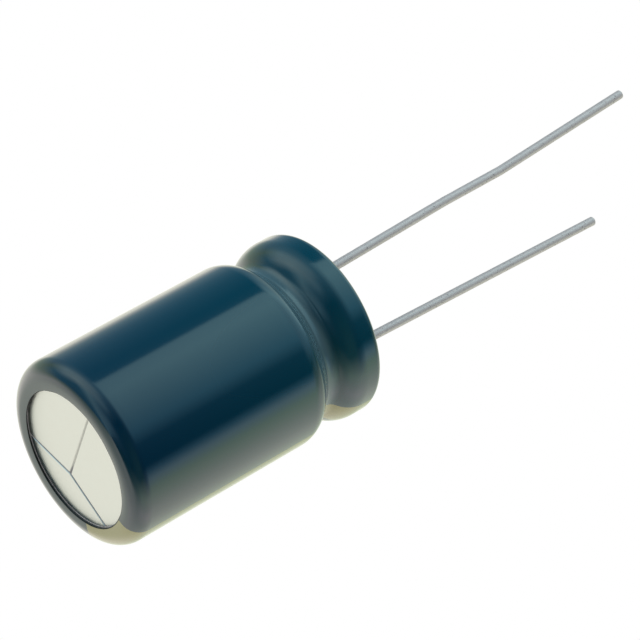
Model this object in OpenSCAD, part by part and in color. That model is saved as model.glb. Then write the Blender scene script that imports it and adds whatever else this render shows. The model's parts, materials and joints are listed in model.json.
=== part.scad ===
// Radial aluminium electrolytic capacitor, 16 mm across and 25 mm tall, with 7.5 mm between its leads.
// A drawn aluminium can stands in a shrunk plastic sleeve. A rubber bung closes it, gripped by a rolled
// bead and a curled rim. Inside, a roll of foil and paper holds two aluminium tabs. Their round bosses
// pass up through the bung, and a wire lead is welded to each.
// z = 0 is the lip of the sleeve at the closed end, the Z axis is the can's own axis, and the leads
// point up. Both leads lie in the XZ plane, the cathode on the +X side.

/* [Can] */
// Outside diameter of the can
can_d = 16; // [15.6:0.1:18]
// Height of the can, from its base to the top of its curled rim
can_h = 25.3; // [25:0.1:40]
// Thickness of the can's wall
can_wall = 0.35; // [0.25:0.05:0.4]
// Thickness of the can's base
base_t = 0.6; // [0.5:0.05:0.9]
// Outer radius of the corner between the wall and the base
base_corner_r = 1.4; // [1:0.1:1.6]
// Diameter of the panel that is pressed into the base
panel_d = 12.3; // [9:0.1:12.4]
// Depth of that panel
panel_depth = 0.2; // [0.05:0.05:0.25]

/* [Vent score] */
// Width of the scored lines at the surface
vent_w = 0.28; // [0.15:0.01:0.5]
// Depth of the scored lines
vent_depth = 0.16; // [0.05:0.01:0.22]
// Distance from the centre of the base to the point where the three lines meet
vent_junction = 2.45; // [0:0.05:4]
// Angle from the long line to each of the two short ones
vent_arm_angle = 101.5; // [80:0.5:130]
// Direction of the long line, from +X
vent_turn = -144; // [-180:1:180]
// Plain border left between the lines' ends and the edge of the panel
vent_border = 0.1; // [0.05:0.05:1]

/* [Bead and rim] */
// Distance from the top of the rim down to the middle of the bead
bead_below_rim = 4.3; // [4.2:0.1:5]
// Depth of the bead
bead_depth = 1.55; // [1:0.05:1.8]
// Radius at the bottom of the bead
bead_r = 1.15; // [0.8:0.05:1.3]
// Radius of the shoulder between the body and the bead
body_shoulder_r = 2.1; // [1:0.05:2.5]
// Radius of the shoulder between the bead and the rim
rim_shoulder_r = 2.45; // [1:0.05:2.5]
// How far the rim's wall lies inside the body's
rim_inset = 0.1; // [0:0.05:0.3]
// Outer radius of the curl at the top of the rim
rim_r = 0.5; // [0.45:0.05:0.7]
// How far the curl turns over, in degrees
curl_turn = 150; // [100:5:170]

/* [Sleeve] */
// Thickness of the shrunk sleeve
sleeve_t = 0.13; // [0.08:0.01:0.25]
// Clearance between the sleeve and the can
sleeve_fit = 0.02; // [0.01:0.01:0.05]
// Diameter of the opening in the sleeve at the closed end
sleeve_open_d = 12; // [9:0.1:12.8]
// How far the sleeve lies over the curl of the rim, in degrees
sleeve_over_rim = 70; // [20:5:90]
// Width of the polarity stripe round the sleeve, in degrees
stripe_span = 53; // [20:1:120]
// Direction of the middle of the stripe, from +X
stripe_turn = -23.5; // [-60:0.5:60]

/* [Rubber bung] */
// Thickness of the bung
bung_t = 5.6; // [5:0.1:6.5]
// Depth of its face below the top of the rim
bung_drop = 0.35; // [0.1:0.05:0.6]
// Clearance between the bung and what it touches
bung_fit = 0.02; // [0.01:0.01:0.05]
// Diameter of the necks where the leads come out
neck_d = 1.3; // [1:0.05:1.8]
// Chamfer at the mouth of each neck
neck_chamfer = 0.25; // [0.1:0.05:0.4]

/* [Roll of foil and paper] */
// Clearance between the roll and the round inside the can's base
roll_gap = 0.1; // [0.05:0.05:0.5]
// Free height between the roll and the pressed part of the tabs
head_gap = 0.2; // [0.1:0.1:1]
// Diameter of the hole that the winding mandrel leaves
mandrel_d = 2; // [1.5:0.1:3]
// Distance from one turn of the paper to the next
turn_pitch = 0.6; // [0.5:0.05:1]
// Thickness of the paper's turns
paper_t = 0.2; // [0.1:0.01:0.3]
// How far the paper stands past the foil at each end
paper_margin = 0.8; // [0.3:0.1:1.5]
// Gap under the roll, and round a tab in it
roll_fit = 0.02; // [0.01:0.01:0.05]
// Thickness of the closing tape
tape_t = 0.06; // [0.03:0.01:0.1]
// Width of the closing tape
tape_w = 12; // [6:0.5:14]
// Overlap of the tape's end, in degrees
tape_overlap = 60; // [20:5:120]

/* [Tabs] */
// Distance between the two leads where they leave the bung
lead_pitch = 7.5; // [6.5:0.1:8.5]
// Diameter of the round boss of a tab
boss_d = 2.2; // [1.6:0.1:2.6]
// Depth of the boss's top below the face of the bung
boss_recess = 0.7; // [0.4:0.1:1.2]
// Height of the cone on top of the boss, where the lead is welded
weld_h = 0.4; // [0.2:0.1:0.6]
// Wider part of the weld round the lead
weld_collar = 0.1; // [0.05:0.01:0.2]
// Length of round boss under the bung
boss_below = 0.4; // [0.2:0.1:0.8]
// Length over which the boss is pressed flat
press_len = 1.7; // [1:0.1:1.9]
// Thickness of the flat paddle
paddle_t = 0.3; // [0.2:0.05:0.5]
// Width of the paddle
paddle_w = 3; // [2.6:0.1:4]
// Length of the paddle
paddle_len = 12; // [6:0.5:14]
// Number of stitches that hold the paddle to its foil
stitches = 4; // [2:1:5]
// Diameter of a stitch hole
stitch_d = 0.7; // [0.4:0.1:1]
// Distance between stitch holes
stitch_pitch = 2.4; // [1.5:0.1:2.6]

/* [Leads] */
// Diameter of the wire
wire_d = 0.8; // [0.6:0.05:0.9]
// Length of the anode lead, from its weld
anode_len = 37.6; // [35:0.1:45]
// Length of the cathode lead, from its weld
cathode_len = 32.2; // [20:0.1:40]
// Radius of every bend, at the middle of the wire
bend_r = 2; // [1:0.5:4]
// Where the anode lead leans out, measured along it
anode_lean_at = 1.1; // [1:0.1:4]
// How far it leans out, in degrees
anode_lean = 1.8; // [0.5:0.1:4]
// Where it turns back, measured along it
anode_back_at = 16.3; // [14:0.1:18]
// How far it turns back, in degrees
anode_back = 1.8; // [0.5:0.1:4]
// Where it leans out again, measured along it
anode_kink_at = 22.8; // [20:0.1:26]
// How far it leans out there, in degrees
anode_kink = 3.6; // [0.5:0.1:6]
// Where the cathode lead leans out, measured along it
cathode_lean_at = 2.3; // [1:0.1:6]
// How far it leans out, in degrees
cathode_lean = 2.1; // [0.5:0.1:4]
// Chamfer that the cutter leaves on the end of a lead
wire_chamfer = 0.1; // [0.05:0.05:0.25]

/* [Hidden] */
$fn = 96;
cut = 1;
lap = 0.1;
skin = sleeve_fit + sleeve_t;

// The can stands on the sleeve's lip
can_r = can_d / 2;
rim_wall_r = can_r - rim_inset;
can_top = skin + can_h;

// Centres of the arcs that the can's outline is drawn with, as [radius, height]
corner_c = [can_r - base_corner_r, skin + base_corner_r];
bead_c = [can_r - bead_depth + bead_r, can_top - bead_below_rim];
body_shoulder_c = [
    can_r - body_shoulder_r,
    bead_c[1] - sqrt(pow(bead_r + body_shoulder_r, 2) - pow(bead_c[0] - can_r + body_shoulder_r, 2))
];
rim_shoulder_c = [
    rim_wall_r - rim_shoulder_r,
    bead_c[1] + sqrt(pow(bead_r + rim_shoulder_r, 2) - pow(bead_c[0] - rim_wall_r + rim_shoulder_r, 2))
];
curl_c = [rim_wall_r - rim_r, can_top - rim_r];

// Heights, from the bung down to the roll
bung_top = can_top - bung_drop;
bung_bottom = bung_top - bung_t;
boss_top = bung_top - boss_recess;
boss_bottom = bung_bottom - boss_below;
paddle_top = boss_bottom - press_len;
paddle_bottom = paddle_top - paddle_len;
roll_bottom = skin + base_t + roll_fit;
roll_top = paddle_top - head_gap;
roll_h = roll_top - roll_bottom;

// The roll just clears the round inside the can, at the height where its paper stands
base_round_r = base_corner_r - can_wall;
floor_r = corner_c[0] + sqrt(pow(base_round_r, 2) - pow(corner_c[1] - roll_bottom, 2));
roll_r = floor_r - roll_gap;

// Radii
panel_r = panel_d / 2;
mandrel_r = mandrel_d / 2;
boss_r = boss_d / 2;
neck_r = neck_d / 2;
wire_r = wire_d / 2;
weld_r = wire_r + weld_collar;
vent_floor = vent_w / 4;
lead_x = lead_pitch / 2;

// The paper's spiral is made of half rings: each is half a pitch wider than the last
half_pitch = turn_pitch / 2;
spiral_r = mandrel_r + paper_t;
half_turns = floor((roll_r - paper_t - spiral_r) / half_pitch) - 1;

// Each bend of a lead: its place along the wire, and its angle
anode_bends = [
    [anode_lean_at, anode_lean],
    [anode_back_at, -anode_back],
    [anode_kink_at, anode_kink]
];
cathode_bends = [[cathode_lean_at, cathode_lean]];

// A wedge with its point at the origin, from the first angle round to the second
module wedge(from, to, reach) {
    steps = ceil((to - from) / 45);
    rim = [for (i = [0 : steps]) from + (to - from) * i / steps];
    polygon(concat([[0, 0]], [for (a = rim) reach * [cos(a), sin(a)]]));
}

module lower_half_disc(r) {
    intersection() {
        circle(r);
        translate([-r, -r])
            square([2 * r, r]);
    }
}

// Half of the can's outline, from its axis out, grown on every side by the given amount
module can_outline(grow) {
    low = body_shoulder_c[1];
    high = rim_shoulder_c[1];
    // base and body
    translate([0, skin - grow])
        square([corner_c[0], low - skin + grow]);
    translate([0, corner_c[1]])
        square([can_r + grow, low - corner_c[1]]);
    translate(corner_c)
        circle(base_corner_r + grow);
    // the bead between its two shoulders
    difference() {
        union() {
            polygon([[0, low], body_shoulder_c, bead_c, rim_shoulder_c, [0, high]]);
            translate(body_shoulder_c)
                circle(body_shoulder_r + grow);
            translate(rim_shoulder_c)
                lower_half_disc(rim_shoulder_r + grow);
        }
        translate(bead_c)
            circle(bead_r - grow);
    }
    // the rim
    translate([0, high])
        square([rim_wall_r + grow, curl_c[1] - high]);
    translate([0, curl_c[1]])
        square([curl_c[0], rim_r + grow]);
    translate(curl_c)
        circle(rim_r + grow);
}

// The curled edge of the rim, as a section
module curl_section() {
    translate(curl_c)
        intersection() {
            difference() {
                circle(rim_r);
                circle(rim_r - can_wall);
            }
            wedge(0, curl_turn, 2 * rim_r);
        }
}

module can_section() {
    difference() {
        can_outline(0);
        difference() {
            can_outline(-can_wall);
            square([can_d, skin + base_t]);
        }
        translate([-cut, curl_c[1]])
            square([can_d, rim_r + cut]);
        // the pressed panel
        translate([-cut, skin - cut])
            square([panel_r + cut, panel_depth + cut]);
    }
    curl_section();
}

// One scored line of the vent, outwards along +X from its start
module score_line(length) {
    rotate([90, 0, 90])
        linear_extrude(length)
            polygon([
                [-vent_w / 2, -cut],
                [vent_w / 2, -cut],
                [vent_w / 2, 0],
                [vent_floor / 2, vent_depth],
                [-vent_floor / 2, vent_depth],
                [-vent_w / 2, 0]
            ]);
}

module vent_score() {
    intersection() {
        rotate([0, 0, vent_turn])
            translate([-vent_junction, 0, skin + panel_depth])
                for (a = [0, vent_arm_angle, -vent_arm_angle])
                    rotate([0, 0, a])
                        score_line(panel_d);
        cylinder(r = panel_r - vent_border, h = skin + base_t);
    }
}

module can() {
    color([0.86, 0.87, 0.83])
        difference() {
            rotate_extrude()
                can_section();
            vent_score();
        }
}

module sleeve_section() {
    difference() {
        can_outline(skin);
        can_outline(sleeve_fit);
        // the opening over the base
        translate([-cut, -cut])
            square([sleeve_open_d / 2 + cut, skin + base_corner_r]);
        // the mouth, down to where the sleeve ends on the curl
        translate([-cut, curl_c[1]])
            square([curl_c[0] + cut, rim_r + skin + cut]);
        translate(curl_c)
            wedge(sleeve_over_rim, 180, 4 * rim_r);
    }
}

// The part of space that the polarity stripe takes
module stripe_field() {
    rotate([0, 0, stripe_turn - stripe_span / 2])
        rotate_extrude(angle = stripe_span)
            translate([mandrel_r, -cut])
                square([can_d, can_top + 2 * cut]);
}

// The stripe is a field of another colour in the same sheet
module sleeve() {
    color([0.06, 0.2, 0.28])
        difference() {
            rotate_extrude()
                sleeve_section();
            stripe_field();
        }
    color([0.66, 0.62, 0.45])
        intersection() {
            rotate_extrude()
                sleeve_section();
            stripe_field();
        }
}

module bung_section() {
    under_curl = curl_c[1] - rim_r - bung_fit;
    difference() {
        union() {
            intersection() {
                can_outline(-can_wall - bung_fit);
                translate([0, bung_bottom])
                    square([can_d, under_curl - bung_bottom]);
            }
            translate([0, under_curl])
                square([curl_c[0], bung_top - under_curl]);
        }
        translate(curl_c)
            circle(rim_r + bung_fit);
    }
}

// The hole for one boss and its lead
module bung_hole() {
    translate([0, 0, bung_bottom - cut])
        cylinder(r = boss_r + bung_fit, h = boss_top - weld_h - bung_bottom + cut + bung_fit);
    translate([0, 0, boss_top - weld_h + bung_fit])
        cylinder(r1 = boss_r + bung_fit, r2 = neck_r, h = weld_h);
    translate([0, 0, boss_top])
        cylinder(r = neck_r, h = boss_recess + cut);
    translate([0, 0, bung_top - neck_chamfer])
        cylinder(r1 = neck_r, r2 = neck_r + 2 * neck_chamfer, h = 2 * neck_chamfer);
}

module rubber_bung() {
    color([0.1, 0.1, 0.11])
        difference() {
            rotate_extrude()
                bung_section();
            for (x = [-lead_x, lead_x])
                translate([x, 0, 0])
                    bung_hole();
        }
}

// The edge of the wound paper: half rings about two centres join into one spiral
module paper_spiral(height) {
    for (k = [0 : half_turns - 1])
        translate([k % 2 * half_pitch, 0, 0])
            rotate([0, 0, k % 2 * 180])
                rotate_extrude(angle = 180)
                    translate([spiral_r + k * half_pitch, 0])
                        square([paper_t, height]);
}

// Where a tab's paddle lies in the roll
module paddle_slot() {
    translate([-paddle_t / 2 - roll_fit, -paddle_w / 2 - roll_fit, paddle_bottom - roll_fit])
        cube([paddle_t + 2 * roll_fit, paddle_w + 2 * roll_fit, paddle_len + press_len]);
}

module foil_roll() {
    foil_bottom = roll_bottom + paper_margin;
    foil_h = roll_h - 2 * paper_margin;
    color([0.88, 0.83, 0.7])
        difference() {
            union() {
                translate([0, 0, foil_bottom])
                    rotate_extrude()
                        translate([mandrel_r, 0])
                            square([roll_r - mandrel_r, foil_h]);
                // the last turn of paper covers the whole side
                translate([0, 0, roll_bottom])
                    rotate_extrude()
                        translate([roll_r - paper_t, 0])
                            square([paper_t, roll_h]);
                translate([0, 0, roll_bottom])
                    paper_spiral(paper_margin + lap);
                translate([0, 0, roll_top - paper_margin - lap])
                    paper_spiral(paper_margin + lap);
            }
            for (x = [-lead_x, lead_x])
                translate([x, 0, 0])
                    paddle_slot();
        }
}

module roll_tape() {
    tape_r = roll_r + roll_fit;
    color([0.9, 0.85, 0.62])
        translate([0, 0, roll_bottom + (roll_h - tape_w) / 2]) {
            rotate_extrude()
                translate([tape_r, 0])
                    square([tape_t, tape_w]);
            rotate_extrude(angle = tape_overlap)
                translate([tape_r, 0])
                    square([2 * tape_t, tape_w]);
        }
}

// Where the boss of a tab is pressed flat: from the paddle's top it widens one way and narrows the other
module pressed_neck() {
    half_t = paddle_t / 2;
    half_w = paddle_w / 2;
    spread = (boss_r - half_t) / press_len;
    wide = boss_r + spread * lap;
    intersection() {
        rotate_extrude()
            polygon([
                [0, paddle_top - lap],
                [half_w - lap, paddle_top - lap],
                [half_w, paddle_top],
                [boss_r, boss_bottom],
                [boss_r, boss_bottom + lap],
                [0, boss_bottom + lap]
            ]);
        translate([0, paddle_w, 0])
            rotate([90, 0, 0])
                linear_extrude(2 * paddle_w)
                    polygon([
                        [-half_t, paddle_top - lap],
                        [half_t, paddle_top - lap],
                        [half_t, paddle_top],
                        [wide, boss_bottom + lap],
                        [-wide, boss_bottom + lap],
                        [-half_t, paddle_top]
                    ]);
    }
}

// A tab about its own lead's axis: boss, pressed neck, and flat paddle with its stitch holes
module tab() {
    color([0.8, 0.81, 0.82]) {
        rotate_extrude()
            polygon([
                [0, boss_bottom],
                [boss_r, boss_bottom],
                [boss_r, boss_top - weld_h],
                [weld_r, boss_top],
                [0, boss_top]
            ]);
        pressed_neck();
        difference() {
            translate([-paddle_t / 2, -paddle_w / 2, paddle_bottom])
                cube([paddle_t, paddle_w, paddle_len]);
            for (i = [0 : stitches - 1])
                translate([-paddle_t, 0, paddle_bottom + stitch_pitch * (i + 0.5)])
                    rotate([0, 90, 0])
                        cylinder(d = stitch_d, h = 2 * paddle_t);
        }
    }
}

module anode_tab() {
    translate([-lead_x, 0, 0])
        tab();
}

module cathode_tab() {
    translate([lead_x, 0, 0])
        tab();
}

// One bend towards +X, starting at the origin along +Z
module elbow(angle) {
    translate([bend_r, 0, 0])
        rotate([90, 0, 180])
            rotate_extrude(angle = angle)
                translate([bend_r, 0])
                    circle(wire_r);
}

// The wire from one place along it to its end, through every bend that is still ahead
module wire_run(bends, length, i = 0, at = 0) {
    if (i == len(bends)) {
        cylinder(r = wire_r, h = length - at - wire_chamfer);
        translate([0, 0, length - at - wire_chamfer])
            cylinder(r1 = wire_r, r2 = wire_r - wire_chamfer, h = wire_chamfer);
    } else {
        straight = bends[i][0] - at;
        angle = bends[i][1];
        turn = abs(angle);
        side = sign(angle);
        arc = bend_r * turn * PI / 180;
        cylinder(r = wire_r, h = straight);
        translate([0, 0, straight]) {
            if (side > 0)
                elbow(turn);
            else
                mirror([1, 0, 0])
                    elbow(turn);
            translate([side * bend_r * (1 - cos(turn)), 0, bend_r * sin(turn)])
                rotate([0, angle, 0])
                    wire_run(bends, length, i + 1, at + straight + arc);
        }
    }
}

module anode_lead() {
    color([0.62, 0.62, 0.65])
        translate([-lead_x, 0, boss_top])
            mirror([1, 0, 0])
                wire_run(anode_bends, anode_len);
}

module cathode_lead() {
    color([0.62, 0.62, 0.65])
        translate([lead_x, 0, boss_top])
            wire_run(cathode_bends, cathode_len);
}

sleeve();
can();
rubber_bung();
foil_roll();
roll_tape();
anode_tab();
cathode_tab();
anode_lead();
cathode_lead();
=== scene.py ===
"""Dresses a radial electrolytic capacitor: a shrunk printed sleeve, a bare scored base, a rubber bung, a
wound element and two tinned leads, in a small white studio. Lengths are in metres. +Z points from the
closed end to the leads."""

import json
from math import atan2, ceil, cos, hypot, pi, radians, sin, sqrt

import bmesh
import bpy
from bpy.props import FloatProperty, FloatVectorProperty, PointerProperty
from bpy.types import Operator, Panel, PropertyGroup
from mathutils import Matrix, Vector, noise


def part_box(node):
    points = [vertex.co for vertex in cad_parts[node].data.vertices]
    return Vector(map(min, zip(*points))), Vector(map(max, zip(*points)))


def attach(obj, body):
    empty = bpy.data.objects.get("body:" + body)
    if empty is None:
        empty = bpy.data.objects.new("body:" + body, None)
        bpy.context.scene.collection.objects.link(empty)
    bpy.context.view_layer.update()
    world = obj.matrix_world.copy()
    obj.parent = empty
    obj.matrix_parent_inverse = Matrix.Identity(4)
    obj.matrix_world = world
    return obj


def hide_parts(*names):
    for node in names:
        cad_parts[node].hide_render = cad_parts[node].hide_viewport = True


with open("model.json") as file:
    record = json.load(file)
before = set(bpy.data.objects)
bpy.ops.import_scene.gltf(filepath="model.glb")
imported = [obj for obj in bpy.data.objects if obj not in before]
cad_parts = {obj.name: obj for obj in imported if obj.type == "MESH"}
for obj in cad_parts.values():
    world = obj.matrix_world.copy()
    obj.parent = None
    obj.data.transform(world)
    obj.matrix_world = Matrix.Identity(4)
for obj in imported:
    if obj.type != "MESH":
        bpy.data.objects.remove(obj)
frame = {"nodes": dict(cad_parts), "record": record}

bl_info = {
    "name": "Radial Capacitor",
    "version": (1, 0, 0),
    "blender": (4, 5, 0),
    "location": "View3D > Sidebar > Capacitor",
    "description": "Sleeve, can, bung and leads of a radial electrolytic capacitor, with a white studio",
    "category": "Object",
}

MM = 0.001
NODES = frame["nodes"]
CAN_LOW, CAN_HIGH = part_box("can")
_, SLEEVE_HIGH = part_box("sleeve")
ANODE_LOW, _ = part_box("anode_lead")
CATHODE_LOW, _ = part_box("cathode_lead")


class OutlineSettings(PropertyGroup):
    """The outline of the can, which the sleeve follows"""

    body_r: FloatProperty(name="Body radius", description="Outer radius of the can",
                          default=8 * MM, min=1 * MM, unit="LENGTH")
    corner_r: FloatProperty(name="Base corner", description="Outer radius between the wall and the base",
                            default=1.4 * MM, min=0, unit="LENGTH")
    bead_drop: FloatProperty(name="Bead below the rim", description="From the top of the rim to the bead",
                             default=4.3 * MM, min=0, unit="LENGTH")
    bead_depth: FloatProperty(name="Bead depth", description="Depth of the rolled bead",
                              default=1.55 * MM, min=0, unit="LENGTH")
    bead_r: FloatProperty(name="Bead radius", description="Radius at the bottom of the bead",
                          default=1.15 * MM, min=0, unit="LENGTH")
    body_shoulder_r: FloatProperty(name="Body shoulder", description="Radius between the body and the bead",
                                   default=2.1 * MM, min=0, unit="LENGTH")
    rim_shoulder_r: FloatProperty(name="Rim shoulder", description="Radius between the bead and the rim",
                                  default=2.45 * MM, min=0, unit="LENGTH")
    rim_inset: FloatProperty(name="Rim inset", description="How far the rim's wall lies inside the body's",
                             default=0.1 * MM, min=0, unit="LENGTH")
    rim_r: FloatProperty(name="Curl radius", description="Outer radius of the curl at the top of the rim",
                         default=0.5 * MM, min=0, unit="LENGTH")


class SleeveSettings(PropertyGroup):
    """The shrunk sleeve and its print"""

    thickness: FloatProperty(name="Thickness", description="Thickness of the shrunk film",
                             default=0.125 * MM, min=0, unit="LENGTH")
    gap: FloatProperty(name="Gap", description="Between the film and the can",
                       default=0.02 * MM, min=0, unit="LENGTH")
    opening_d: FloatProperty(name="Opening", description="Diameter of the opening over the base",
                             default=12 * MM, min=0, unit="LENGTH")
    over_rim: FloatProperty(name="Over the rim", description="How far the film lies over the curl",
                            default=radians(70), subtype="ANGLE")
    ripple: FloatProperty(name="Ripple", description="Depth of the slow waves that shrinking leaves",
                          default=0.012 * MM, min=0, unit="LENGTH")
    edge_ripple: FloatProperty(name="Edge ripple", description="How far the film's ends wander",
                               default=0.05 * MM, min=0, unit="LENGTH")
    off_centre: FloatProperty(name="Off centre", description="How far the opening lies off the can's axis",
                              default=0.18 * MM, min=0, unit="LENGTH")
    off_centre_turn: FloatProperty(name="Off centre towards", description="Direction of that, from +X",
                                   default=radians(-75), subtype="ANGLE")
    film_colour: FloatVectorProperty(name="Film", description="Colour of the film at the closed end",
                                     subtype="COLOR", size=4, min=0, max=1,
                                     default=(0.0005, 0.021, 0.048, 1))
    # Painted light: the film turns to this lighter colour towards the rim.
    painted_light_top_colour: FloatVectorProperty(name="Film at the rim", description="Colour of the film at the rim",
                                    subtype="COLOR", size=4, min=0, max=1,
                                    default=(0.0008, 0.041, 0.068, 1))
    # Painted reflection: the film takes this paler colour in the bead.
    painted_reflection_colour: FloatVectorProperty(name="Shrunk film", description="Colour where the film shrank most",
                                       subtype="COLOR", size=4, min=0, max=1,
                                       default=(0.06, 0.125, 0.155, 1))
    # Painted shade: the cut edge round the opening takes this near black colour.
    cut_edge_shade_colour: FloatVectorProperty(name="Cut edge", description="Colour of the film's cut edge at the base",
                                    subtype="COLOR", size=4, min=0, max=1,
                                    default=(0.002, 0.004, 0.005, 1))
    stripe_colour: FloatVectorProperty(name="Stripe", description="Colour of the polarity stripe",
                                       subtype="COLOR", size=4, min=0, max=1,
                                       default=(0.38, 0.34, 0.13, 1))
    stripe_turn: FloatProperty(name="Stripe direction", description="Middle of the stripe, from +X",
                               default=radians(-23.5), subtype="ANGLE")
    stripe_span: FloatProperty(name="Stripe width", description="Width of the stripe round the body",
                               default=radians(53), subtype="ANGLE")
    bar_pitch: FloatProperty(name="Bar pitch", description="From one minus bar of the stripe to the next",
                             default=5.2 * MM, min=0, unit="LENGTH")
    bar_length: FloatProperty(name="Bar length", description="Length of a minus bar, along the can",
                              default=2.6 * MM, min=0, unit="LENGTH")
    bar_width: FloatProperty(name="Bar width", description="Width of a minus bar",
                             default=0.8 * MM, min=0, unit="LENGTH")


class LeadSettings(PropertyGroup):
    """The two wire leads"""

    wire_d: FloatProperty(name="Wire", description="Diameter of the wire",
                          default=0.8 * MM, min=0, unit="LENGTH")
    pitch: FloatProperty(name="Pitch", description="Between the leads where they leave the bung",
                         default=7.5 * MM, min=0, unit="LENGTH")
    anode_length: FloatProperty(name="Anode length", description="Length of the anode lead",
                                default=37.6 * MM, min=0, unit="LENGTH")
    cathode_length: FloatProperty(name="Cathode length", description="Length of the cathode lead",
                                  default=32.2 * MM, min=0, unit="LENGTH")
    bend_r: FloatProperty(name="Bend radius", description="Radius of each bend, at the wire's middle",
                          default=2 * MM, min=0, unit="LENGTH")
    dent: FloatProperty(name="Dents", description="Depth of the handling marks in the tin",
                        default=0.012 * MM, min=0, unit="LENGTH")
    colour: FloatVectorProperty(name="Tin", description="Colour of the tinned wire", subtype="COLOR",
                                size=4, default=(0.68, 0.632, 0.62, 1), min=0, max=1)


class MetalSettings(PropertyGroup):
    """The can's bare base, and the colours of the metal and the rubber"""

    panel_depth: FloatProperty(name="Base panel", description="How far the base's panel is pressed in",
                               default=0.2 * MM, min=0, unit="LENGTH")
    can_colour: FloatVectorProperty(name="Can", description="Colour of the drawn aluminium", subtype="COLOR",
                                    size=4, default=(0.88, 0.855, 0.855, 1), min=0, max=1)
    rubber_colour: FloatVectorProperty(name="Rubber", description="Colour of the bung", subtype="COLOR",
                                       size=4, default=(0.018, 0.018, 0.02, 1), min=0, max=1)


class StudioSettings(PropertyGroup):
    """The camera and the light"""

    camera_place: FloatVectorProperty(name="Camera", description="Where the camera stands", size=3,
                                      subtype="TRANSLATION", unit="LENGTH",
                                      default=(-125.06 * MM, -200.14 * MM, -114.03 * MM))
    camera_turn: FloatProperty(name="Turn", description="Direction of view round Z, 0 looks along +Y",
                               default=radians(-32), subtype="ANGLE")
    camera_tilt: FloatProperty(name="Tilt", description="How far the view rises above level",
                               default=radians(30.66), subtype="ANGLE")
    camera_roll: FloatProperty(name="Roll", description="Turn of the picture about the view",
                               default=radians(60.71), subtype="ANGLE")
    lens: FloatProperty(name="Lens", description="Focal length in millimetres", default=187.7, min=1)
    floor_size: FloatProperty(name="Floor", description="Length of the floor's sides", default=4,
                              min=0.1, unit="LENGTH")
    lamp_power: FloatProperty(name="Lamp", description="Power of the overhead lamp in watts",
                              default=0.5, min=0)
    lamp_size: FloatProperty(name="Lamp size", description="Length of the lamp's sides", default=0.3,
                             min=0.01, unit="LENGTH")
    lamp_place: FloatVectorProperty(name="Lamp position", description="Where the lamp hangs", size=3,
                                    subtype="TRANSLATION", unit="LENGTH", default=(-0.36, -0.06, 0.3))
    lamp_aim: FloatVectorProperty(name="Lamp aim", description="The point that the lamp faces", size=3,
                                  subtype="TRANSLATION", unit="LENGTH", default=(0, 0, 12 * MM))


def settings():
    """The settings of the capacitor in this scene."""
    return bpy.context.scene.capacitor


def arc(centre, radius, start, end, step=radians(3)):
    """Points of an arc as (radius, height) pairs, with both ends."""
    count = max(2, ceil(abs(end - start) / step))
    angles = [start + (end - start) * i / count for i in range(count + 1)]
    return [(centre[0] + radius * cos(a), centre[1] + radius * sin(a)) for a in angles]


def shoulder_height(radius, inset, bead_centre, bead_r, body_r):
    """How far a shoulder's centre lies from the bead's, along the can, when their arcs touch."""
    across = bead_centre[0] - (body_r - inset - radius)
    return sqrt((bead_r + radius) ** 2 - across ** 2)


def can_outline(grow, turn_over):
    """The can's outline grown by an amount, from the foot of its base corner up over the curl of its rim."""
    o = settings().outline
    low, high = CAN_LOW.z, CAN_HIGH.z
    bead = (o.body_r - o.bead_depth + o.bead_r, high - o.bead_drop)
    body = (o.body_r - o.body_shoulder_r,
            bead[1] - shoulder_height(o.body_shoulder_r, 0, bead, o.bead_r, o.body_r))
    rim = (o.body_r - o.rim_inset - o.rim_shoulder_r,
           bead[1] + shoulder_height(o.rim_shoulder_r, o.rim_inset, bead, o.bead_r, o.body_r))
    corner = (o.body_r - o.corner_r, low + o.corner_r)
    curl = (o.body_r - o.rim_inset - o.rim_r, high - o.rim_r)
    to_bead = atan2(bead[1] - body[1], bead[0] - body[0])
    to_rim = atan2(rim[1] - bead[1], rim[0] - bead[0])
    return (
        arc(corner, o.corner_r + grow, -pi / 2, 0)
        + level_steps(o.body_r + grow, corner[1], body[1])
        + arc(body, o.body_shoulder_r + grow, 0, to_bead)
        + arc(bead, o.bead_r - grow, pi + to_bead, to_rim)[1:]
        + arc(rim, o.rim_shoulder_r + grow, to_rim - pi, 0)[1:]
        + arc(curl, o.rim_r + grow, 0, turn_over)
    )


def level_steps(radius, low, high, step=0.6 * MM):
    """Points up a straight wall, without its ends."""
    count = ceil((high - low) / step)
    return [(radius, low + (high - low) * i / count) for i in range(1, count)]


def mesh_object(name, verts, faces):
    """A new object in the scene, with a smooth surface and its faces turned to agree."""
    mesh = bpy.data.meshes.new(name)
    mesh.from_pydata(verts, [], faces)
    mesh.validate()
    bm = bmesh.new()
    bm.from_mesh(mesh)
    bmesh.ops.recalc_face_normals(bm, faces=bm.faces)
    bm.to_mesh(mesh)
    bm.free()
    mesh.shade_smooth()
    piece = bpy.data.objects.new(name, mesh)
    bpy.context.scene.collection.objects.link(piece)
    return piece


def turned_ring(name, section, segments, settle):
    """A closed section turned about Z. settle moves each point, given its radius, height and angle."""
    verts, faces = [], []
    count = len(section)
    for j in range(segments):
        angle = 2 * pi * j / segments
        for point in section:
            radius, height = settle(*point, angle)
            verts.append((radius * cos(angle), radius * sin(angle), height))
    for j in range(segments):
        here, after = j * count, (j + 1) % segments * count
        for i in range(count):
            k = (i + 1) % count
            faces.append((here + i, after + i, after + k, here + k))
    return mesh_object(name, verts, faces)


def waves(point, size):
    """Smooth noise from -1 to 1 whose waves are about the given size."""
    return noise.noise(Vector(point) / size)


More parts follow.
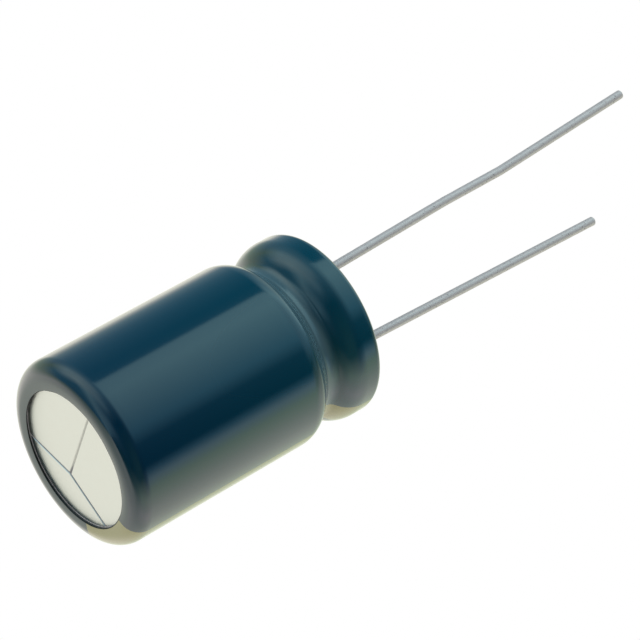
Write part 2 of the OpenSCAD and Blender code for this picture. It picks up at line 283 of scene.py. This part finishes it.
class Nodes:
    """Builds a node tree, node by node."""

    def __init__(self, tree):
        self.tree = tree

    def node(self, kind, **values):
        """A node with attributes set by name, and its sockets by name with spaces as underscores."""
        made = self.tree.nodes.new(kind)
        for name, value in values.items():
            if hasattr(made, name):
                setattr(made, name, value)
            else:
                self.feed(made.inputs[name.replace("_", " ")], value)
        return made

    def feed(self, socket, value):
        """Links a socket to another one, or gives it a value."""
        if isinstance(value, bpy.types.NodeSocket):
            self.tree.links.new(value, socket)
        else:
            socket.default_value = value

    def maths(self, operation, *values):
        """The result of one operation on numbers or sockets."""
        made = self.node("ShaderNodeMath", operation=operation)
        for socket, value in zip(made.inputs, values):
            self.feed(socket, value)
        return made.outputs[0]

    def ramp(self, value, start, end):
        """0 up to the start and 1 from the end on."""
        return self.node("ShaderNodeMapRange", Value=value, From_Min=start, From_Max=end).outputs[0]

    def soft_step(self, value, start, end):
        """0 up to the start and 1 from the end on, eased. It falls where the start is above the end."""
        return self.node("ShaderNodeMapRange", interpolation_type="SMOOTHSTEP", Value=value,
                         From_Min=start, From_Max=end).outputs[0]

    def within(self, value, reach, blur):
        """1 below the reach and 0 above it, with a soft edge."""
        return self.soft_step(value, reach + blur, reach - blur)

    def axes(self, vector):
        """A vector's X, Y and Z."""
        return self.node("ShaderNodeSeparateXYZ", Vector=vector).outputs

    def length(self, x, y):
        """How long the way is that goes x one way and y across it."""
        squares = self.maths("ADD", self.maths("MULTIPLY", x, x), self.maths("MULTIPLY", y, y))
        return self.maths("SQRT", squares)

    def mixed(self, factor, first, second):
        """One colour turning into another."""
        made = self.node("ShaderNodeMix", data_type="RGBA")
        self.feed(made.inputs["Factor"], factor)
        colours = [socket for socket in made.inputs if socket.type == "RGBA"]
        self.feed(colours[0], first)
        self.feed(colours[1], second)
        return next(socket for socket in made.outputs if socket.type == "RGBA")


class Shader(Nodes):
    """A material with a Principled surface."""

    def __init__(self, name):
        self.material = bpy.data.materials.new(name)
        self.material.use_nodes = True
        super().__init__(self.material.node_tree)
        self.surface = self.tree.nodes["Principled BSDF"]
        self.place = self.node("ShaderNodeTexCoord").outputs["Object"]

    def stretched(self, scale):
        """The place on the piece, scaled along each axis."""
        return self.node("ShaderNodeMapping", Vector=self.place, Scale=scale).outputs[0]

    def grain(self, size, detail=2, rough=0.5, place=None):
        """Noise from 0 to 1 with spots about the given size."""
        return self.node("ShaderNodeTexNoise", Vector=place or self.place, Scale=1 / size,
                         Detail=detail, Roughness=rough).outputs["Fac"]

    def between(self, factor, low, high):
        """low where the factor is 0 and high where it is 1, as numbers."""
        return self.node("ShaderNodeMapRange", Value=factor, To_Min=low, To_Max=high).outputs[0]

    def bump(self, height, distance, below=None):
        """Relief as deep as the distance, which may lie on top of another one."""
        made = self.node("ShaderNodeBump", Height=height, Distance=distance)
        if below:
            self.feed(made.inputs["Normal"], below)
        return made.outputs[0]

    def finish(self, **sockets):
        """Sets the surface's sockets by name, with spaces as underscores."""
        for name, value in sockets.items():
            self.feed(self.surface.inputs[name.replace("_", " ")], value)
        return self.material


def shade(colour, level):
    """A colour made darker or lighter."""
    return (*(min(1, c * level) for c in colour[:3]), 1)


def stripe_print(m, s, angle, z):
    """1 where the stripe is printed, and 0 beside it and on its minus bars."""
    off = m.maths("ABSOLUTE", m.maths("SUBTRACT", angle, s.stripe_turn))
    ragged = m.between(m.grain(0.15 * MM), radians(-0.25), radians(0.25))
    stripe = m.within(m.maths("ADD", off, ragged), s.stripe_span / 2, radians(0.3))
    across = m.maths("MULTIPLY", off, SLEEVE_HIGH.x)
    from_bar = m.maths("SUBTRACT", m.maths("PINGPONG", z, s.bar_pitch), s.bar_pitch / 2)
    along = m.maths("ABSOLUTE", from_bar)
    blur = 0.03 * MM
    in_width = m.within(across, s.bar_width / 2, blur)
    in_length = m.within(along, s.bar_length / 2, blur)
    bar = m.maths("MULTIPLY", in_width, in_length)
    return m.maths("MULTIPLY", stripe, m.maths("SUBTRACT", 1, bar))


def shrunk_and_reflection_zone(m, z):
    """1 from the body's shoulder to just past the bottom of the bead, where the film shrank most. There the
    film is rougher and holds a painted reflection.
    """
    bead = CAN_HIGH.z - settings().outline.bead_drop
    begin, full = bead - 1.95 * MM, bead - 1.35 * MM
    fade, end = bead + 0.1 * MM, bead + 0.9 * MM
    return m.maths("SUBTRACT", m.soft_step(z, begin, full), m.soft_step(z, fade, end))


def cut_edge(m, s, from_axis, angle):
    """1 on the film's cut edge, round the opening over the base."""
    aside = m.maths("COSINE", m.maths("SUBTRACT", angle, s.off_centre_turn))
    from_centre = m.maths("SUBTRACT", from_axis, m.maths("MULTIPLY", aside, s.off_centre))
    edge_width, blur = 0.05 * MM, 0.02 * MM
    return m.within(from_centre, s.opening_d / 2 + edge_width, blur)


def sleeve_material(s):
    """Glossy printed film. Print, shrinking and cut edge are found from the angle and the height. Painted
    light makes the film lighter towards the rim, a painted reflection makes it paler in the bead, and
    painted shade makes the cut edge near black.
    """
    m = Shader("printed_film")
    x, y, z = m.axes(m.place)
    angle = m.maths("ARCTAN2", y, x)
    stripe = stripe_print(m, s, angle, z)
    shrunk = shrunk_and_reflection_zone(m, z)
    cut = cut_edge(m, s, m.length(x, y), angle)
    # Painted light: the film's colour lightens from the closed end to the rim.
    film = m.mixed(m.ramp(z, 0, SLEEVE_HIGH.z), s.film_colour, s.painted_light_top_colour)
    # Painted reflection: the film turns paler in the bead.
    film = m.mixed(shrunk, film, s.painted_reflection_colour)
    cloud = m.grain(2.5 * MM, detail=3)
    gold = m.mixed(cloud, shade(s.stripe_colour, 0.94), shade(s.stripe_colour, 1.06))
    gloss = m.between(m.grain(0.2 * MM, detail=1), 0.1, 0.17)
    rough = m.maths("ADD", gloss, m.between(shrunk, 0, 0.08))
    normal = m.bump(m.grain(0.5 * MM), 0.001 * MM)
    return m.finish(
        # Painted shade: the cut edge round the opening is near black.
        Base_Color=m.mixed(cut, m.mixed(stripe, film, gold), s.cut_edge_shade_colour),
        Roughness=m.maths("ADD", rough, m.between(cut, 0, 0.5)),
        Normal=m.bump(stripe, 0.004 * MM, below=normal),
        IOR=1.53,
        Coat_Weight=m.between(cut, 0.85, 0),
        Coat_Roughness=0.08,
        Coat_IOR=1.5,
    )


def aluminium_material(name, colour, rough=(0.38, 0.5), shade_and_dull=None):
    """Drawn aluminium: matte, with a cloudy grain and faint lines. An optional function finds where painted
    shade darkens it and where it is dull.
    """
    m = Shader(name)
    cloud = m.grain(1.6 * MM, detail=4)
    fine = m.grain(0.06 * MM, detail=2)
    lines = m.grain(0.08 * MM, place=m.stretched((1, 0.04, 1)))
    normal = m.bump(fine, 0.001 * MM)
    normal = m.bump(lines, 0.0008 * MM, below=normal)
    base = m.mixed(cloud, shade(colour, 0.95), shade(colour, 1.04))
    shine = 1.0
    if shade_and_dull:
        dark, dull = shade_and_dull(m)
        # Painted shade: the metal turns near black where the mask says.
        painted_shade_colour = shade(colour, 0.06)
        base = m.mixed(dark, base, painted_shade_colour)
        shine = m.between(dull, 1, 0)
    return m.finish(
        Base_Color=base,
        Roughness=m.between(cloud, *rough),
        Normal=normal,
        Metallic=shine,
    )


def base_shade_and_dull(m):
    """Painted shade on the base: how dark it is under the sleeve's lip and in the scores, more so on one
    side, and how dull the metal is there.
    """
    x, y, z = m.axes(m.place)
    lip = settings().sleeve.opening_d / 2
    panel = CAN_LOW.z + settings().metals.panel_depth
    ring_width, wall_blur = 0.13 * MM, 0.05 * MM
    score_begin, score_full = panel + 0.01 * MM, panel + 0.08 * MM
    lit_side, shaded_side = 1.5 * MM, 3.3 * MM
    ring = m.soft_step(m.length(x, y), lip, lip + ring_width)
    outside_panel = m.soft_step(z, panel, panel - wall_blur)
    score = m.soft_step(z, score_begin, score_full)
    # The scores' painted shade is deeper on one side of the base than on the other.
    side = m.soft_step(m.maths("ADD", x, y), lit_side, shaded_side)
    in_score = m.maths("MULTIPLY", score, m.between(side, 0.16, 0.5))
    # Painted shade: near black under the sleeve's lip and in the scores.
    dark = m.maths("MAXIMUM", m.maths("MULTIPLY", ring, outside_panel), in_score)
    return dark, m.maths("MAXIMUM", ring, m.maths("MULTIPLY", score, side))


def tin_material(s):
    """Tinned wire: satin, with drawing lines along it, dull spots and small pits."""
    m = Shader("tinned_wire")
    lines = m.grain(0.05 * MM, place=m.stretched((1, 1, 0.03)))
    spots = m.grain(0.35 * MM, detail=4)
    pits = m.soft_step(m.grain(0.16 * MM, detail=1), 0.68, 0.74)
    normal = m.bump(lines, 0.004 * MM)
    normal = m.bump(m.maths("SUBTRACT", 1, pits), 0.01 * MM, below=normal)
    clean = m.mixed(spots, shade(s.colour, 0.85), shade(s.colour, 1.15))
    return m.finish(
        Base_Color=m.mixed(pits, clean, shade(s.colour, 0.45)),
        Roughness=m.between(spots, 0.32, 0.48),
        Normal=normal,
        Metallic=0.35,
    )


def rubber_material(colour):
    """Moulded rubber: matte, with a fine grain and a little dust."""
    m = Shader("moulded_rubber")
    grain = m.grain(0.08 * MM, detail=3)
    dust = m.soft_step(m.grain(0.7 * MM, detail=5, rough=0.7), 0.5, 0.8)
    return m.finish(
        Base_Color=m.mixed(dust, colour, shade(colour, 2.2)),
        Roughness=m.between(grain, 0.55, 0.75),
        Normal=m.bump(grain, 0.01 * MM),
    )


def paper_material(colour):
    """Soaked paper: matte, with fibres."""
    m = Shader("soaked_paper")
    fibre = m.grain(0.2 * MM, detail=4, place=m.stretched((1, 1, 0.3)))
    return m.finish(
        Base_Color=m.mixed(fibre, shade(colour, 0.85), shade(colour, 1.08)),
        Roughness=m.between(fibre, 0.5, 0.7),
        Normal=m.bump(fibre, 0.02 * MM),
    )


def tape_material(colour):
    """Yellowish film tape: glossy, with small wrinkles."""
    m = Shader("film_tape")
    wrinkle = m.grain(1.2 * MM, detail=2)
    return m.finish(
        Base_Color=m.mixed(wrinkle, shade(colour, 0.92), shade(colour, 1.05)),
        Roughness=m.between(wrinkle, 0.15, 0.25),
        Normal=m.bump(wrinkle, 0.01 * MM),
    )


def dress(node, material):
    """Gives a carried-over node its material."""
    mesh = NODES[node].data
    mesh.materials.clear()
    mesh.materials.append(material)


def take_place(piece, material, node):
    """The piece stands for a node, with its own material, on the root body, and the node is hidden."""
    piece.data.materials.append(material)
    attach(piece, "root")
    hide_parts(node)


class CAPACITOR_OT_sleeve(Operator):
    """Make the printed sleeve, shrunk onto the can and over both of its ends"""

    bl_idname = "capacitor.sleeve"
    bl_label = "Sleeve"

    segments = 256
    lip_step = radians(22)
    ripple_size = 5 * MM
    # The lip's radius in waves of its wandering, and how far from the lip the film still wanders
    edge_waves = 4
    edge_reach = 0.6 * MM

    def execute(self, context):
        s = settings().sleeve
        outer = can_outline(s.gap + s.thickness, s.over_rim)
        inner = can_outline(s.gap, s.over_rim)
        lip_r = s.opening_d / 2
        edge_r = s.thickness / 2
        lip = arc((lip_r + edge_r, CAN_LOW.z - s.gap - edge_r), edge_r, pi / 2, 3 * pi / 2, self.lip_step)
        piece = turned_ring("sleeve_film", inner[::-1] + lip + outer, self.segments, self.settle)
        take_place(piece, sleeve_material(s), "sleeve")
        return {"FINISHED"}

    def settle(self, radius, height, angle):
        """The film after shrinking: slow waves, all inwards, and a wandering lip that lies off the axis."""
        s = settings().sleeve
        spot = (radius * cos(angle), radius * sin(angle), height)
        radius -= s.ripple * (1 + waves(spot, self.ripple_size)) / 2
        near_lip = max(0, 1 - hypot(radius - s.opening_d / 2, height) / self.edge_reach)
        round_lip = (cos(angle) * self.edge_waves, sin(angle) * self.edge_waves, 0)
        radius += s.edge_ripple * near_lip * waves(round_lip, 1)
        radius += s.off_centre * near_lip * cos(angle - s.off_centre_turn)
        return radius, height


class CAPACITOR_OT_leads(Operator):
    """Make the two tinned leads, with their bends and cut ends"""

    bl_idname = "capacitor.leads"
    bl_label = "Leads"

    sides = 28
    step = 0.25 * MM
    bend_steps = 4
    tip_steps = 4
    # How far the end of each wire is rounded or chamfered
    round_fall = 0.16 * MM
    cut_fall = 0.1 * MM
    # The size of the dents, and how high the noise has to be to leave one
    dent_size = 0.7 * MM
    dent_from = 0.1
    # Where each bend begins, along the wire, and by how much it turns outwards
    anode_bends = ((1.1 * MM, radians(1.8)), (16.3 * MM, radians(-1.8)), (22.8 * MM, radians(3.6)))
    cathode_bends = ((2.3 * MM, radians(2.1)),)

    def execute(self, context):
        s = settings().leads
        tin = tin_material(s)
        for name, side, length, bends, low, round_tip in (
            ("anode_wire", -1, s.anode_length, self.anode_bends, ANODE_LOW, True),
            ("cathode_wire", 1, s.cathode_length, self.cathode_bends, CATHODE_LOW, False),
        ):
            start = Vector((side * s.pitch / 2, 0, low.z))
            path = self.route(start, side, length, bends, s.bend_r)
            piece = self.wire(name, path, s, round_tip)
            take_place(piece, tin, name.replace("wire", "lead"))
        return {"FINISHED"}

    def route(self, start, side, length, bends, bend_r):
        """Points along the wire with their headings from +Z, every step and all through each bend."""
        place, heading, done = start.copy(), 0.0, 0.0
        path = [(place.copy(), heading)]
        for at, turn in (*bends, (length, 0)):
            straight = at - done
            ahead = Vector((side * sin(heading), 0, cos(heading)))
            count = ceil(straight / self.step)
            for i in range(1, count + 1):
                path.append((place + ahead * straight * i / count, heading))
            place = path[-1][0].copy()
            part, chord = turn / self.bend_steps, bend_r * abs(turn) / self.bend_steps
            for _ in range(self.bend_steps):
                middle = heading + part / 2
                place = place + Vector((side * sin(middle), 0, cos(middle))) * chord
                heading += part
                if turn:
                    path.append((place.copy(), heading))
            done = at + bend_r * abs(turn)
        return [(p, side * h) for p, h in path]

    def wire(self, name, path, s, round_tip):
        """A tube along the path. Its end is rounded or chamfered, and dents go inwards only."""
        radius = s.wire_d / 2
        tip, heading = path[-1]
        fall = self.round_fall if round_tip else self.cut_fall
        rings = [(p, h, radius) for p, h in path[:-1]]
        for i in range(self.tip_steps + 1):
            turn = pi / 2 * i / self.tip_steps
            back = Vector((sin(heading), 0, cos(heading))) * fall * (1 - sin(turn))
            shrink = fall * (1 - cos(turn)) if round_tip else fall * i / self.tip_steps
            rings.append((tip - back, heading, radius - shrink))
        verts, faces = [], []
        for p, heading, r in rings:
            across = Vector((cos(heading), 0, -sin(heading)))
            for k in range(self.sides):
                a = 2 * pi * k / self.sides
                out = across * cos(a) + Vector((0, sin(a), 0))
                spot = p + out * r
                dent = s.dent * max(0, waves(spot, self.dent_size) - self.dent_from)
                verts.append(p + out * (r - dent))
        n = self.sides
        for j in range(len(rings) - 1):
            for k in range(n):
                after = (k + 1) % n
                faces.append((j * n + k, j * n + after, (j + 1) * n + after, (j + 1) * n + k))
        faces.append(tuple(range(n)))
        faces.append(tuple(range(len(verts) - n, len(verts))))
        return mesh_object(name, verts, faces)


class CAPACITOR_OT_can(Operator):
    """Finish the drawn can, whose bare base shows through the sleeve"""

    bl_idname = "capacitor.can"
    bl_label = "Can"

    def execute(self, context):
        colour = settings().metals.can_colour
        dress("can", aluminium_material("drawn_aluminium", colour, shade_and_dull=base_shade_and_dull))
        return {"FINISHED"}


class CAPACITOR_OT_bung(Operator):
    """Finish the rubber bung"""

    bl_idname = "capacitor.bung"
    bl_label = "Bung"

    def execute(self, context):
        dress("rubber_bung", rubber_material(settings().metals.rubber_colour))
        return {"FINISHED"}


class CAPACITOR_OT_element(Operator):
    """Finish what is sealed in: the wound roll, its tape and the two tabs"""

    bl_idname = "capacitor.element"
    bl_label = "Wound element"

    def execute(self, context):
        colours = {m["slot"]: (*m["base_color"], 1) for m in frame["record"]["materials"]}
        dress("foil_roll", paper_material(colours["roll"]))
        dress("roll_tape", tape_material(colours["tape"]))
        tab = aluminium_material("pressed_tab", colours["tab"], (0.25, 0.4))
        dress("anode_tab", tab)
        dress("cathode_tab", tab)
        return {"FINISHED"}


class CAPACITOR_OT_studio(Operator):
    """Set up the floor, the white surroundings, the lamp and the camera"""

    bl_idname = "capacitor.studio"
    bl_label = "Studio"

    # For a few heights in degrees: in each direction from +X the room's brightness, and then how blue it is,
    # or how green with a minus sign
    room = (
        (-62, ((0, 0.9), (60, 0.66), (98, 0.4), (116, 0.08, 0.24), (150, 0.12, 0.34),
               (178, 0.38, 0.42), (194, 0.32, 0.36), (222, 0.24, 0.32), (250, 0.05, 0.1),
               (290, 0.01), (325, 0.05), (345, 0.85))),
        (-42, ((0, 0.95), (35, 1.1), (58, 0.82), (84, 1.05), (98, 0.5), (108, 0.1, 0.3),
               (150, 0.1, 0.38), (174, 0.5, 0.5), (192, 0.25, 0.35), (204, 0.15, 0.25),
               (228, 0.01, 0.08), (290, 0.01), (318, 0.25), (340, 0.7))),
        (-24, ((0, 0.92), (35, 0.9), (58, 0.88), (84, 1), (100, 0.5), (120, 0.14, 0.38),
               (138, 0.7, 0.34), (158, 0.92, 0.34), (183, 0.6, 0.34), (204, 0.32, 0.36),
               (216, 0.08, 0.15), (228, 0, 0.05), (298, 0.05), (322, 0.75, -0.12), (345, 1.1))),
        (-6, ((0, 0.84), (40, 1.1), (60, 1.15), (84, 1.1), (98, 0.48), (118, 0.3),
              (140, 0.68, 0.38), (162, 0.72, 0.36), (185, 0.52, 0.36), (198, 0.22, 0.3),
              (208, 0.1, 0.2), (228, 0, 0.05), (294, 0.05), (322, 0.9, -0.12), (345, 1.15))),
        (9, ((0, 0.85), (84, 0.95), (95, 0.45), (116, 0.22, 0.2), (140, 0.24, 0.36),
             (183, 0.24, 0.4), (200, 0.18, 0.28), (230, 0.04, 0.08), (285, 0),
             (299, 0.16, 0.1), (323, 1, -0.12), (346, 1.2))),
        (31, ((0, 0.91), (14, 0.77), (28, 0.64), (42, 0.8), (60, 1), (86, 1), (94, 0.6, 0.05),
              (102, 0.26, 0.2), (120, 0.12, 0.26), (134, 0.06, 0.28), (160, 0, 0.28),
              (173, 0.02, 0.3), (177, 0.58, 0.54), (194, 0.68, 0.6), (218, 0.48, 0.55),
              (244, 0.22, 0.5), (260, 0.02, 0.1), (286, 0, 0.05), (293, 0.14, 0.3),
              (302, 0.58, 0.3), (314, 0.74, -0.17), (326, 0.85, -0.12), (338, 0.93, -0.06))),
        (46, ((0, 0.78), (30, 0.6), (60, 0.82), (84, 0.72), (98, 0.14, 0.14), (150, 0.28, 0.37),
              (172, 0.66, 0.56), (200, 0.5, 0.48), (228, 0.36, 0.4), (256, 0.22, 0.32),
              (284, 0.02), (311, 0.36), (330, 0.85))),
        (72, ((0, 0.5), (60, 0.65), (100, 0.6), (170, 0.7, 0.5), (230, 0.42, 0.42),
              (275, 0.2, 0.3), (316, 0.02), (344, 0.12))),
    )
    # What lights matt surfaces from all round
    soft_light = (0.56, 0.56, 0.56, 1)
    # How white the floor looks to the camera, near the part and far off, and where that begins and ends
    floor_white = (0.36, 0.6)
    white_from = (0.1, 0.6)
    # How far the floor lies below the part, so that their faces don't meet
    floor_drop = 0.01 * MM

    def execute(self, context):
        s = settings().studio
        self.world(context.scene)
        self.floor(s)
        self.lamp(s)
        self.camera(context.scene, s)
        context.scene.view_settings.view_transform = "Standard"
        return {"FINISHED"}

    def light(self, level, tint=0):
        """A brightness as a colour, which is bluish, greenish or slightly creamy."""
        if tint > 0:
            # Its green follows its blue, and the more so the brighter it is
            green = level + (0.55 + 0.45 * level) * tint
            return level, green, level + tint, 1
        # Middle levels are a little greener than dark and bright ones
        green = level + 0.3 * sqrt(level) * (1 - level) - tint
        return level, green, 0.88 * level, 1

    def storey(self, m, turn, levels):
        """The room at one height, whose light changes with direction."""
        made = m.node("ShaderNodeValToRGB", Fac=turn)
        marks = made.color_ramp.elements
        marks[0].color = marks[1].color = self.light(*levels[0][1:])
        for degrees, *light in levels[1:]:
            marks.new(degrees / 360).color = self.light(*light)
        return made.outputs["Color"]

    def world(self, scene):
        """White for whoever looks at it or through glass. Glossy surfaces mirror the room, and matt ones are
        lit by an even soft light."""
        world = bpy.data.worlds.new("studio")
        world.use_nodes = True
        scene.world = world
        m = Nodes(world.node_tree)
        x, y, z = m.axes(m.node("ShaderNodeTexCoord").outputs["Generated"])
        turn = m.maths("FRACT", m.maths("DIVIDE", m.maths("ARCTAN2", y, x), 2 * pi))
        rise = m.maths("ARCSINE", z)
        colour = self.storey(m, turn, self.room[0][1])
        for (below, _), (height, levels) in zip(self.room, self.room[1:]):
            share = m.ramp(rise, radians(below), radians(height))
            colour = m.mixed(share, colour, self.storey(m, turn, levels))
        path = m.node("ShaderNodeLightPath")
        seen = m.maths("MAXIMUM", path.outputs["Is Camera Ray"], path.outputs["Is Transmission Ray"])
        colour = m.mixed(path.outputs["Is Diffuse Ray"], colour, self.soft_light)
        m.feed(m.tree.nodes["Background"].inputs["Color"], m.mixed(seen, colour, (1, 1, 1, 1)))

    def floor(self, s):
        """A pale floor that only shows from above, so that the camera can look up at the closed end."""
        half, down = s.floor_size / 2, -self.floor_drop
        verts = [(-half, -half, down), (half, -half, down), (half, half, down), (-half, half, down)]
        floor = mesh_object("floor", verts, [(0, 1, 2, 3)])
        m = Shader("pale_floor")
        away = m.node("ShaderNodeVectorMath", operation="LENGTH", Vector=m.place).outputs["Value"]
        white = m.between(m.soft_step(away, *self.white_from), *self.floor_white)
        seen = m.node("ShaderNodeLightPath").outputs["Is Camera Ray"]
        m.finish(Base_Color=(0.9, 0.9, 0.9, 1), Roughness=1, Specular_IOR_Level=0,
                 Emission_Color=(1, 1, 1, 1), Emission_Strength=m.maths("MULTIPLY", seen, white))
        clear = m.node("ShaderNodeBsdfTransparent")
        mix = m.node("ShaderNodeMixShader")
        m.feed(mix.inputs[0], m.node("ShaderNodeNewGeometry").outputs["Backfacing"])
        m.feed(mix.inputs[1], m.surface.outputs[0])
        m.feed(mix.inputs[2], clear.outputs[0])
        m.feed(m.tree.nodes["Material Output"].inputs["Surface"], mix.outputs[0])
        floor.data.materials.append(m.material)
        floor.visible_diffuse = False
        floor.visible_glossy = False
        floor.visible_transmission = False
        floor.visible_shadow = False

    def lamp(self, s):
        """A wide soft lamp overhead, which the glossy film doesn't mirror."""
        data = bpy.data.lights.new("overhead", "AREA")
        data.size = s.lamp_size
        data.energy = s.lamp_power
        lamp = bpy.data.objects.new("overhead", data)
        lamp.location = s.lamp_place
        lamp.rotation_euler = (s.lamp_aim - s.lamp_place).to_track_quat("-Z", "Y").to_euler()
        lamp.visible_glossy = False
        bpy.context.scene.collection.objects.link(lamp)

    def camera(self, scene, s):
        """The camera looks up at the closed end, from beside and below it."""
        data = bpy.data.cameras.new("camera")
        data.lens = s.lens
        data.clip_start = 0.01
        camera = bpy.data.objects.new("camera", data)
        upright = Matrix.Rotation(s.camera_turn, 4, "Z") @ Matrix.Rotation(pi / 2 + s.camera_tilt, 4, "X")
        camera.matrix_world = (Matrix.Translation(s.camera_place) @ upright
                               @ Matrix.Rotation(s.camera_roll, 4, "Z"))
        scene.collection.objects.link(camera)
        scene.camera = camera


OPERATORS = (
    CAPACITOR_OT_sleeve,
    CAPACITOR_OT_can,
    CAPACITOR_OT_bung,
    CAPACITOR_OT_leads,
    CAPACITOR_OT_element,
    CAPACITOR_OT_studio,
)


class CapacitorSettings(PropertyGroup):
    """All the settings of the capacitor and its studio"""

    outline: PointerProperty(type=OutlineSettings)
    sleeve: PointerProperty(type=SleeveSettings)
    leads: PointerProperty(type=LeadSettings)
    metals: PointerProperty(type=MetalSettings)
    studio: PointerProperty(type=StudioSettings)


class CAPACITOR_PT_sidebar(Panel):
    """Lists the settings and the steps of the capacitor"""

    bl_idname = "CAPACITOR_PT_sidebar"
    bl_label = "Capacitor"
    bl_space_type = "VIEW_3D"
    bl_region_type = "UI"
    bl_category = "Capacitor"

    def draw(self, context):
        for group in ("outline", "sleeve", "leads", "metals", "studio"):
            box = self.layout.box()
            box.label(text=group.capitalize())
            part = getattr(context.scene.capacitor, group)
            for name in part.__annotations__:
                box.prop(part, name)
        for operator in OPERATORS:
            self.layout.operator(operator.bl_idname)


CLASSES = (
    OutlineSettings,
    SleeveSettings,
    LeadSettings,
    MetalSettings,
    StudioSettings,
    CapacitorSettings,
    *OPERATORS,
    CAPACITOR_PT_sidebar,
)


def register():
    """Makes the settings, the operators and the panel known."""
    for cls in CLASSES:
        bpy.utils.register_class(cls)
    bpy.types.Scene.capacitor = PointerProperty(type=CapacitorSettings)


def unregister():
    """Takes them away again."""
    del bpy.types.Scene.capacitor
    for cls in reversed(CLASSES):
        bpy.utils.unregister_class(cls)


def main():
    """Runs every operator."""
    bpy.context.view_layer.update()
    register()
    for operator in OPERATORS:
        group, name = operator.bl_idname.split(".")
        getattr(getattr(bpy.ops, group), name)()


if __name__ == "__main__":
    main()
